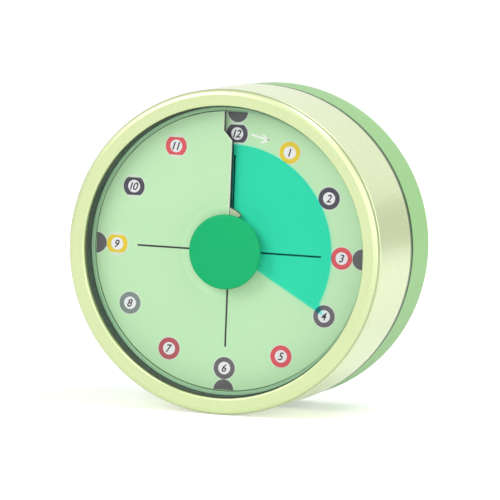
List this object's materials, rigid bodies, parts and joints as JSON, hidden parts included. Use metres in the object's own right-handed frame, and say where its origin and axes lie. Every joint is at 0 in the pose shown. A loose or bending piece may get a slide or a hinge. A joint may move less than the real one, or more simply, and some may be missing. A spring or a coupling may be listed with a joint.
{
  "type": "visual countdown timer",
  "caption": "Round desk timer with a rising printed dial, a teal disc that shows the time left through a slit, a centre knob and a magnetic back.",
  "frame": {"origin": "centre of the flat back face", "axes": "-Y out of the dial, +Y out of the back, +Z towards twelve o'clock, +X towards three o'clock"},
  "size_m": [0.08, 0.045, 0.08],
  "materials": {
    "pearl_green": "satin pearl, pale yellow-green",
    "gasket_grey": "matt dark grey",
    "clear_lens": "clear moulded plastic, polished",
    "dial_green": "matt, printed",
    "disc_film": "translucent teal film",
    "white_acetal": "moulded, unpainted",
    "knob_green": "smooth matt",
    "white_abs": "moulded, unpainted",
    "spring_steel": "bright rolled strip",
    "ferrite": "dark sintered",
    "soft_iron": "plain stamped",
    "copper_winding": "enamelled wire",
    "case_green": "matt, lightly textured",
    "cell_jacket": "printed film jacket",
    "nickel_contact": "nickel plated",
    "board_green": "solder mask",
    "black_plastic": "moulded",
    "slider_white": "moulded",
    "nickel_magnet": "nickel plated",
    "zinc_screw": "zinc plated"
  },
  "bodies": {
    "case": {"front_ring": "pearl_green", "lens_gasket": "gasket_grey", "lens": "clear_lens", "dial_plate": "dial_green", "front_plate": "white_abs", "train_plate": "white_abs", "motor_stator": "soft_iron", "motor_coil": "copper_winding", "rear_case": "case_green", "battery": "cell_jacket", "contact_positive": "nickel_contact", "contact_negative": "nickel_contact", "circuit_board": "board_green", "buzzer": "black_plastic", "switch_body": "black_plastic", "magnets": "nickel_magnet", "case_screws": "zinc_screw", "ring_screws": "zinc_screw", "train_screws": "zinc_screw"},
    "knob_shaft": {"knob": "knob_green", "main_shaft": "white_acetal", "disc_hub": "white_acetal", "clutch_spring": "spring_steel"},
    "time_disc": {"time_disc": "disc_film"},
    "centre_wheel": {"centre_wheel": "white_acetal"},
    "third_wheel": {"third_wheel": "white_acetal"},
    "second_wheel": {"second_wheel": "white_acetal"},
    "motor_rotor": {"motor_rotor": "ferrite"},
    "volume_slider": {"volume_slider": "slider_white"},
    "battery_door": {"battery_door": "case_green"}
  },
  "joints": [
    {"name": "knob_turn", "type": "hinge", "parent": "case", "child": "knob_shaft", "pos_m": [0, 0, 0], "axis": [0, 1, 0], "range_deg": [-120, 240]},
    {"name": "disc_lift", "type": "slide", "parent": "knob_shaft", "child": "time_disc", "axis": [0, -1, 0], "range_m": [-0.00054, 0.00107]},
    {"name": "centre_wheel_spin", "type": "hinge", "parent": "case", "child": "centre_wheel", "pos_m": [0, 0, 0], "axis": [0, 1, 0], "continuous": true},
    {"name": "third_wheel_spin", "type": "hinge", "parent": "case", "child": "third_wheel", "pos_m": [-0.01072, 0, 0.009], "axis": [0, 1, 0], "continuous": true},
    {"name": "second_wheel_spin", "type": "hinge", "parent": "case", "child": "second_wheel", "pos_m": [-0.00522, 0, 0.01853], "axis": [0, 1, 0], "continuous": true},
    {"name": "rotor_spin", "type": "hinge", "parent": "case", "child": "motor_rotor", "pos_m": [0.00511, 0, 0.01476], "axis": [0, 1, 0], "continuous": true},
    {"name": "volume_slide", "type": "slide", "parent": "case", "child": "volume_slider", "axis": [1, 0, 0], "range_m": [0, 0.004]},
    {"name": "battery_door_pull", "type": "slide", "parent": "case", "child": "battery_door", "axis": [0, 1, 0], "range_m": [0, 0.02]}
  ],
  "couplings": [
    {"joint": "disc_lift", "follows": "knob_turn", "m_per_rad": 0.00025465},
    {"joint": "third_wheel_spin", "follows": "second_wheel_spin", "ratio": -0.22222},
    {"joint": "centre_wheel_spin", "follows": "second_wheel_spin", "ratio": 0.037037},
    {"joint": "rotor_spin", "follows": "second_wheel_spin", "ratio": -4.5}
  ]
}
